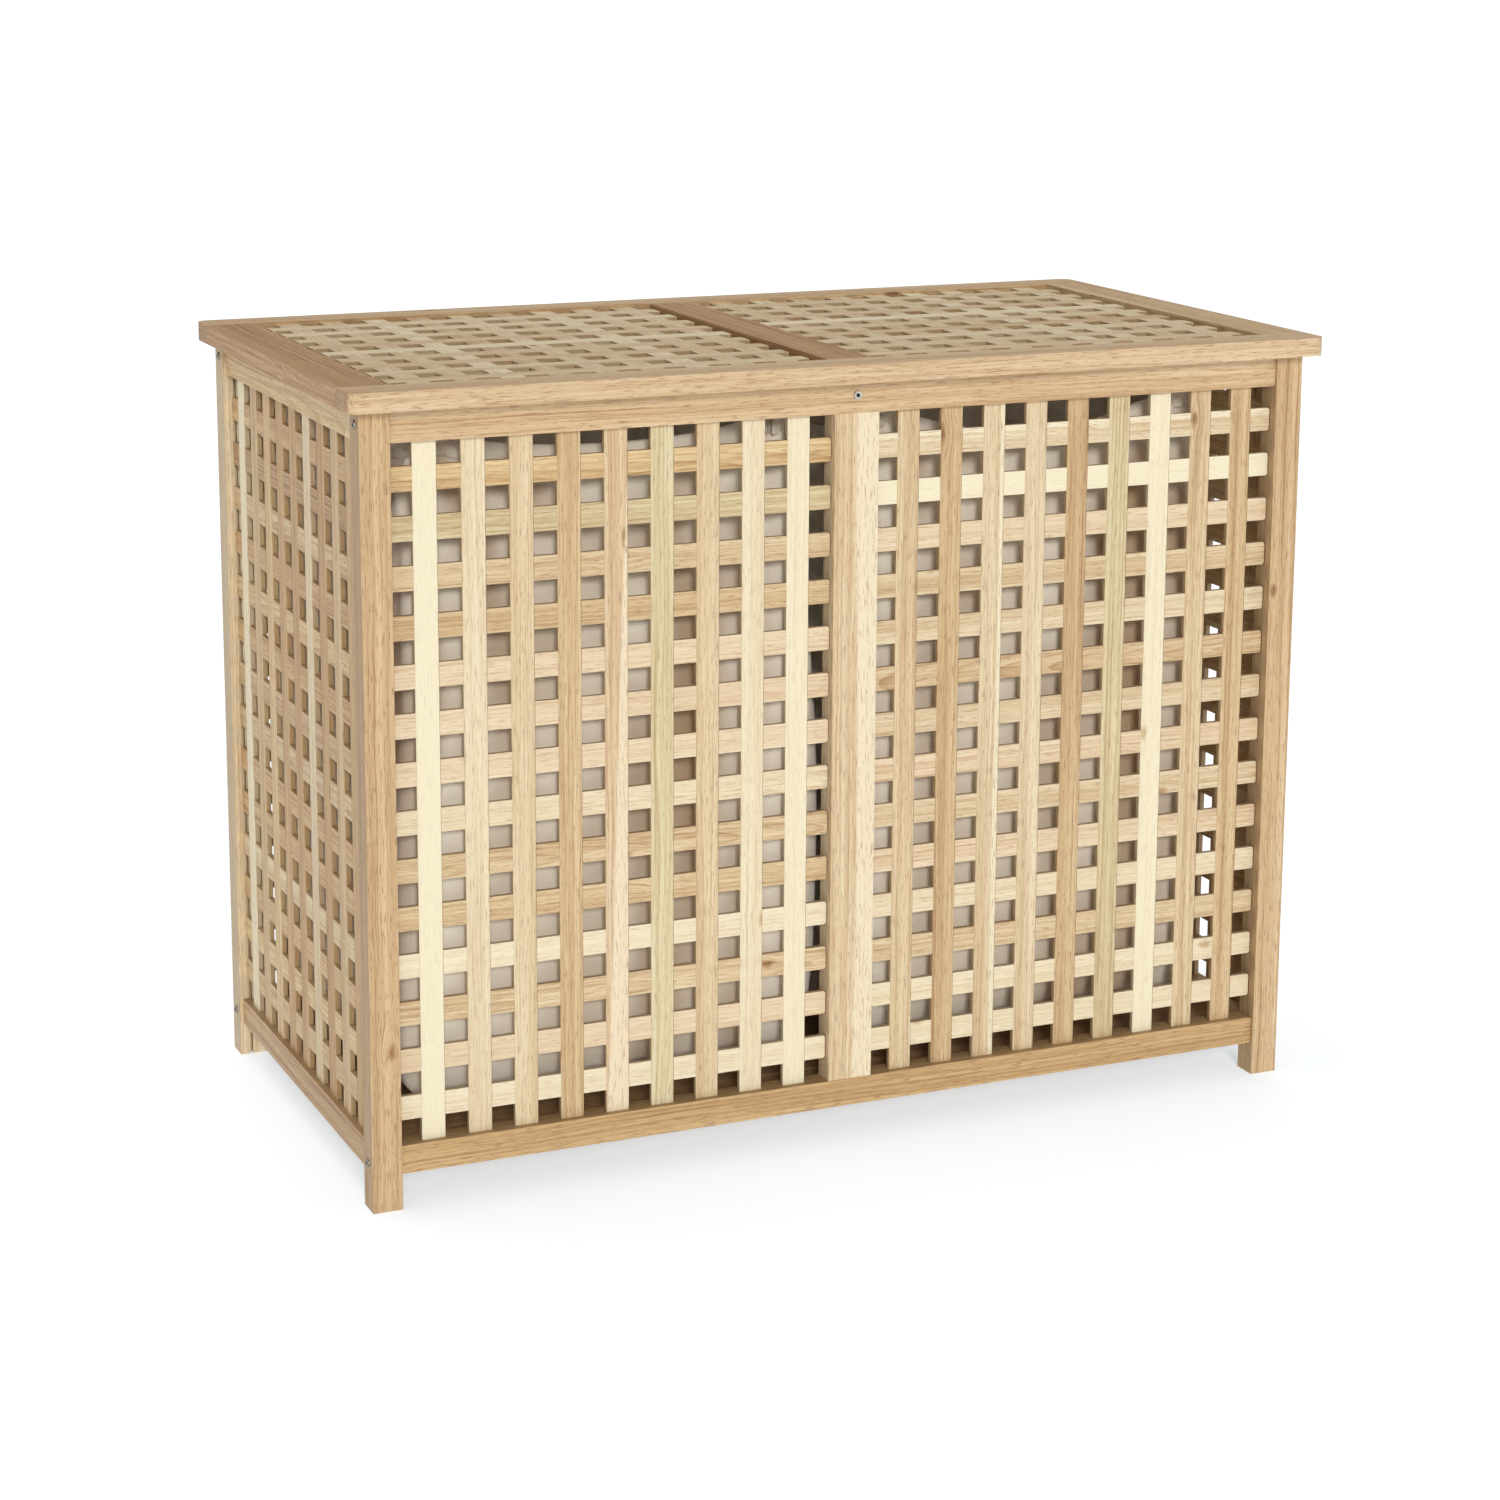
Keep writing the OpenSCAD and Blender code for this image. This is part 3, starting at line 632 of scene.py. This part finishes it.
class Bag:
    """The surface of one hanging bag: a rounded box outline, folds that fan out from its four tabs,
    a rim that sags between them and a soft floor."""

    corner = 0.020            # radius of the upright corners
    rim_drop = 0.001          # how far below the top of its CAD stand-in the rim starts
    floor_round = 0.050       # height over which the wall turns into the floor
    floor_tuck = 0.45         # how far the foot tucks in, as a share of floor_round
    step = 0.0045             # width of a mesh face, round the outline
    tab_half = 0.011          # half the width of a tab
    peg_rise = 0.010          # height of the pegs above the rim, where the folds start
    fan_depth = 0.0055        # folds that spread from the tabs
    slow_depth = 0.0130       # wide folds of the hanging cloth
    quick_depth = 0.0090      # narrower folds between them
    fine_depth = 0.0050       # creases
    slack = 0.013             # how much further out the cloth hangs once it is clear of the rim
    inset = 0.010             # how far the cloth starts inside the outline
    rails_end = 0.11, 0.59    # the heights between which no rail stands in the cloth's way
    room_by_rails = 0.0015    # how far the cloth may stand out beside the rails
    extra_room = 0.006        # how much further between them
    soft = 0.004              # the depth over which the cloth comes to rest against that limit

    def __init__(self, side, sags):
        self.side = side
        low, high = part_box(side + "_laundry_bag")
        self.low, self.high = low, high
        self.w, self.d = high.x - low.x, high.y - low.y
        self.middle = (low + high) / 2
        self.rim = high.z
        self.sags = sags          # how far the rim hangs between the tabs: front, right, back, left
        self.slow_seed, self.quick_seed = {"left": (0.4, 2.9), "right": (7.7, 5.2)}[side]
        tab_low, tab_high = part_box(side + "_bag_tabs")
        self.tab_x = (tab_low.x + self.tab_half, tab_high.x - self.tab_half)
        self.tab_top = tab_high.z
        straight_w, straight_d = self.w - 2 * self.corner, self.d - 2 * self.corner
        arc = math.pi / 2 * self.corner
        self.parts = [straight_w, arc, straight_d, arc, straight_w, arc, straight_d, arc]
        self.girth = sum(self.parts)
        self.around = round(self.girth / self.step)
        tab_inset = self.tab_x[0] - low.x - self.corner
        back_start = straight_w + 2 * arc + straight_d
        self.tab_s = [tab_inset, straight_w - tab_inset,
                      back_start + tab_inset, back_start + straight_w - tab_inset]

    def places(self):
        """The places round the outline where the mesh has its points."""
        return [self.girth * i / self.around for i in range(self.around)]

    def outline(self, s):
        """The point and outward normal s metres round the outline from the front left corner."""
        s %= self.girth
        centre_x, centre_y = self.w / 2 - self.corner, self.d / 2 - self.corner
        starts = [(-centre_x, -centre_y), (centre_x, -centre_y),
                  (centre_x, centre_y), (-centre_x, centre_y)]
        for side in range(4):
            straight, arc = self.parts[2 * side], self.parts[2 * side + 1]
            facing = -math.pi / 2 + side * math.pi / 2
            normal = Vector((math.cos(facing), math.sin(facing)))
            onward = Vector((-normal.y, normal.x))
            if s < straight:
                return Vector(starts[side]) + normal * self.corner + onward * s, normal
            s -= straight
            if s < arc:
                turn = facing + s / self.corner
                normal = Vector((math.cos(turn), math.sin(turn)))
                return Vector(starts[(side + 1) % 4]) + normal * self.corner, normal
            s -= arc
        return self.outline(0)

    def from_tab(self, s, tab):
        """Signed distance round the outline from a tab."""
        return (s - self.tab_s[tab] + self.girth / 2) % self.girth - self.girth / 2

    def rim_at(self, s):
        """Height of the rim: up at the tabs, hanging in a curve between them."""
        s %= self.girth
        for tab, sag in enumerate(self.sags):
            start, end = self.tab_s[tab], self.tab_s[(tab + 1) % 4]
            length = (end - start) % self.girth
            along = (s - start) % self.girth
            if along <= length:
                share = along / length
                hang = (4 * share * (1 - share)) ** 0.8
                return self.rim - self.rim_drop - sag * hang
        return self.rim

    def folds(self, s, z):
        """Outward push of the folds, in metres."""
        push = 0.0
        down = self.rim + self.peg_rise - z
        for tab in range(4):
            sideways = self.from_tab(s, tab)
            reach = math.hypot(sideways, down)
            angle = math.atan2(sideways, max(down, 1e-4))
            fan = math.sin(angle * 11 + tab * 1.9 + 0.8 * math.sin(reach * 14 + tab))
            push += self.fan_depth * fan * smooth_step(reach / 0.05) * math.exp(-reach / 0.26)
        drop = (self.rim - z) / (self.rim - self.low.z)
        slow = noise.noise(Vector((s * 5.0 + 3.1, z * 1.6, self.slow_seed)))
        quick = noise.noise(Vector((s * 17.0 + 1.6 * slow, z * 1.9, self.quick_seed)))
        fine = noise.noise(Vector((s * 36.0 + 4 * slow, z * 6.0, 4.1)))
        hanging = self.slow_depth * slow + self.quick_depth * quick + self.fine_depth * fine
        return push + hanging * smooth_step(drop * 4 + 0.2)

    def push(self, s, z):
        """How far the cloth stands outside the outline; it bulges most at half height."""
        low, high = self.rails_end
        slack = self.slack * smooth_step((self.rim_at(s) - z) / 0.22) - self.inset
        between_rails = smooth_step((z - low) / 0.06) * smooth_step((high - z) / 0.06)
        room = self.room_by_rails + self.extra_room * between_rails
        push = self.folds(s, z) + slack
        free = room - self.soft
        return push if push < free else room - self.soft * math.exp((free - push) / self.soft)

    def wall(self, s, z, out=0.0):
        """A point of the wall, out metres outside the cloth."""
        point, normal = self.outline(s)
        depth = min(1.0, (z - self.low.z) / self.floor_round)
        tuck = self.floor_round * self.floor_tuck * (1 - math.sqrt(max(0.0, 1 - (1 - depth) ** 2)))
        spot = point + normal * (self.push(s, z) - tuck + out)
        return Vector((self.middle.x + spot.x, self.middle.y + spot.y, z))

    def floor_point(self, s, share):
        """A point of the floor, from the middle (0) to the foot of the wall (1)."""
        edge = self.wall(s, self.low.z)
        middle = Vector((self.middle.x, self.middle.y, self.low.z))
        spot = middle.lerp(edge, share)
        ripple = noise.noise(Vector((spot.x * 16, spot.y * 16, 3.3)))
        spot.z += (0.004 + 0.004 * ripple) * (1 - share ** 4)
        return spot


def band(first, second, around):
    """The faces between two rings of points, each ring given by the index of its first point."""
    faces = []
    for i in range(around):
        j = (i + 1) % around
        faces.append((first + i, first + j, second + j, second + i))
    return faces


def add_cloth_object(name, mesh, material):
    """Links a cotton piece with smooth faces into the scene."""
    mesh.polygons.foreach_set("use_smooth", [True] * len(mesh.polygons))
    mesh.materials.append(material)
    piece = bpy.data.objects.new(name, mesh)
    bpy.context.scene.collection.objects.link(piece)
    return piece


def cloth_object(name, verts, faces, cloth, material):
    """A cotton piece from points, faces and each point's cloth attribute."""
    mesh = bpy.data.meshes.new(name)
    mesh.from_pydata(verts, [], faces)
    field = mesh.attributes.new("cloth", "FLOAT_VECTOR", "POINT").data
    for i, place in enumerate(cloth):
        field[i].vector = place
    return add_cloth_object(name, mesh, material)


def thicken(piece, thickness):
    """Gives a sheet its thickness, half on either side."""
    solid = piece.modifiers.new("cloth thickness", "SOLIDIFY")
    solid.thickness = thickness
    solid.offset = 0
    return solid


def bag_body(bag, material, lining):
    """The wall and floor of a bag, one mesh, with its own look on the inner side."""
    rows = 84
    crowding = 1.15     # above 1, the rows lie closer together near the floor
    floor_rings = 14
    around = bag.around
    verts, faces, cloth = [], [], []
    for row in range(rows + 1):
        share = (row / rows) ** crowding
        for s in bag.places():
            z = bag.low.z + (bag.rim_at(s) - bag.low.z) * share
            verts.append(bag.wall(s, z))
            cloth.append((s, z, bag.folds(s, z)))
    for ring in range(1, floor_rings):
        for s in bag.places():
            spot = bag.floor_point(s, 1 - ring / floor_rings)
            verts.append(spot)
            cloth.append((spot.x, spot.y, 0))
    middle = len(verts)
    verts.append(bag.floor_point(0, 0))
    cloth.append((bag.middle.x, bag.middle.y, 0))
    for row in range(rows):
        faces += band(row * around, (row + 1) * around, around)
    rings = [0] + [rows + ring for ring in range(1, floor_rings)]
    for outer, inner in zip(rings, rings[1:]):
        faces += band(inner * around, outer * around, around)
    last = rings[-1] * around
    faces += [(last + (i + 1) % around, last + i, middle) for i in range(around)]
    piece = cloth_object(bag.side + "_bag_cloth", verts, faces, cloth, material)
    piece.data.materials.append(lining)
    thicken(piece, 0.0009).material_offset = 1
    return piece


def bag_hem(bag, material):
    """The folded hem round the rim, on both sides of the cloth."""
    depth, proud = 0.017, 0.0011
    pucker_pitch, pucker_depth = 0.0042, 0.00025
    profile = [(0.0, depth, -1), (1.0, depth, -1), (1.15, depth * 0.5, -1), (1.0, 0.0, -1),
               (0.0, -0.0016, 0),
               (1.0, 0.0, 1), (1.15, depth * 0.5, 1), (1.0, depth, 1), (0.0, depth, 1)]
    verts, faces, cloth = [], [], []
    for out, down, side in profile:
        for s in bag.places():
            pucker = pucker_depth * math.sin(s * 2 * math.pi / pucker_pitch) if down > 0 else 0
            z = bag.rim_at(s) - down
            verts.append(bag.wall(s, z, out=(out * proud + pucker) * side))
            cloth.append((s, z, 0))
    for row in range(len(profile) - 1):
        faces += band(row * bag.around, (row + 1) * bag.around, bag.around)
    return cloth_object(bag.side + "_bag_hem", verts, faces, cloth, material)


def stitch_line(name, spots, material):
    """A row of thread stitches: one short bead for each pair of points."""
    radius = 0.00035
    rounds = 6
    rings = ((0.0, 0.25), (0.2, 0.95), (0.8, 0.95), (1.0, 0.25))
    turns = [2 * math.pi * k / rounds for k in range(rounds)]
    verts, faces = [], []
    for start, end in spots:
        run = end - start
        across = run.orthogonal().normalized()
        up = run.normalized().cross(across)
        base = len(verts)
        for share, swell in rings:
            middle = start + run * share
            for turn in turns:
                spoke = across * math.cos(turn) + up * math.sin(turn)
                verts.append(middle + spoke * radius * swell)
        for ring in range(len(rings) - 1):
            faces += band(base + ring * rounds, base + (ring + 1) * rounds, rounds)
        faces.append(tuple(base + k for k in reversed(range(rounds))))
        last = base + (len(rings) - 1) * rounds
        faces.append(tuple(last + k for k in range(rounds)))
    return cloth_object(name, verts, faces, [tuple(v) for v in verts], material)


def hem_stitches(bag, material):
    """The seam along the lower edge of the hem, inside and outside."""
    pitch, length, down, proud = 0.0046, 0.0032, 0.0148, 0.0014
    spots = []
    for i in range(int(bag.girth / pitch)):
        s = i * pitch
        for side in (-1, 1):
            spots.append([bag.wall(t, bag.rim_at(t) - down, out=proud * side)
                          for t in (s, s + length)])
    return stitch_line(bag.side + "_hem_stitches", spots, material)


def tab_strip(bag, tab, material):
    """A hanging tab: a doubled strip, sewn inside the hem, with a buttonhole for its peg."""
    columns, rows = 12, 22
    hole = 0.0026             # radius of the buttonhole
    hole_spread = hole * 2.2  # the distance from its middle within which the mesh makes room for it
    overlap = 0.022           # how far the tab reaches down inside the hem
    bend = 0.012              # height over which it leans from the cloth to the peg
    front = tab < 2
    x = bag.tab_x[0] if tab in (0, 3) else bag.tab_x[1]
    low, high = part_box(bag.side + "_bag_tabs")
    face = low.y + 0.001 if front else high.y - 0.001
    foot = bag.wall(bag.tab_s[tab], bag.rim - 0.02)
    peg_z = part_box("bag_pegs")[0].z + 0.004
    foot_z = bag.rim - overlap
    mesh = bmesh.new()
    grid = {}
    for row in range(rows + 1):
        rise = row / rows
        z = foot_z + (bag.tab_top - foot_z) * rise
        lean = smooth_step((z - (bag.rim - bend)) / bend)
        narrow = 1 - 0.04 * math.sin(math.pi * rise)
        top_round = math.sqrt(max(0.0, 1 - max(0.0, (rise - 0.82) / 0.18) ** 2 * 0.35))
        for column in range(columns + 1):
            across = column / columns * 2 - 1
            crown = 0.0010 * math.cos(across * math.pi) * (1 - rise)
            y = foot.y + (face - foot.y) * lean + (crown if front else -crown)
            dx, dz = across * bag.tab_half * narrow * top_round, z - peg_z
            away = math.hypot(dx, dz)
            grow = 1
            if 1e-6 < away < hole_spread:
                grow = (hole + away * (1 - hole / hole_spread)) / away
            grid[row, column] = mesh.verts.new((x + dx * grow, y, peg_z + dz * grow))
    for row in range(rows):
        for column in range(columns):
            corners = [grid[row, column], grid[row, column + 1],
                       grid[row + 1, column + 1], grid[row + 1, column]]
            middle = sum((c.co for c in corners), Vector()) / 4
            if math.hypot(middle.x - x, middle.z - peg_z) > hole * 1.05:
                mesh.faces.new(corners if front else corners[::-1])
    loose = [v for v in mesh.verts if not v.link_faces]
    bmesh.ops.delete(mesh, geom=loose, context="VERTS")
    name = f"{bag.side}_bag_tab_{tab + 1}"
    data = bpy.data.meshes.new(name)
    mesh.to_mesh(data)
    mesh.free()
    field = data.attributes.new("cloth", "FLOAT_VECTOR", "POINT").data
    for v in data.vertices:
        field[v.index].vector = (v.co.x, v.co.z, 0)
    piece = add_cloth_object(name, data, material)
    thicken(piece, 0.0016)
    return piece


def tab_stitches(bag, tab, material):
    """A sewn box with a cross where a tab joins the hem."""
    pitch = 0.0028
    half_w, low, high = 0.0085, bag.rim - 0.0195, bag.rim - 0.0115
    x = bag.tab_x[0] if tab in (0, 3) else bag.tab_x[1]
    inward = 1 if tab < 2 else -1
    y = bag.wall(bag.tab_s[tab], bag.rim - 0.02).y + inward * 0.0026
    corners = ((-half_w, low), (half_w, low), (half_w, high), (-half_w, high))
    a, b, c, d = (Vector((x + dx, y, z)) for dx, z in corners)
    spots = []
    for start, end in ((a, b), (b, c), (c, d), (d, a), (a, c), (b, d)):
        count = max(2, round((end - start).length / pitch))
        for i in range(count):
            spots.append((start.lerp(end, (i + 0.12) / count), start.lerp(end, (i + 0.85) / count)))
    return stitch_line(f"{bag.side}_tab_stitches_{tab + 1}", spots, material)


def hang_bag(side, sags, material, lining, thread):
    """Builds one bag with its tabs and seams and puts it in place of its CAD stand-ins."""
    bag = Bag(side, sags)
    body = bag_body(bag, material, lining)
    hem = bag_hem(bag, material)
    seam = hem_stitches(bag, thread)
    tabs = [tab_strip(bag, tab, material) for tab in range(4)]
    boxes = [tab_stitches(bag, tab, thread) for tab in range(4)]
    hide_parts(side + "_laundry_bag")
    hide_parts(side + "_bag_tabs")
    for piece in (body, hem, seam, *tabs, *boxes):
        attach(piece, "chest")


# ---------------------------------------------------------------- the scene

add_camera()
add_floor()
add_light()
dress_wood()
dress_metal()
canvas = cotton("cotton_canvas")
# The inner side gets far less painted fold shade than the outside
inner_side = cotton("cotton_inner_side", fold_shade=0.20)
thread = cotton("cotton_thread", warmth=0.03)
hang_bag("left", (0.021, 0.016, 0.022, 0.015), canvas, inner_side, thread)
hang_bag("right", (0.034, 0.018, 0.026, 0.016), canvas, inner_side, thread)
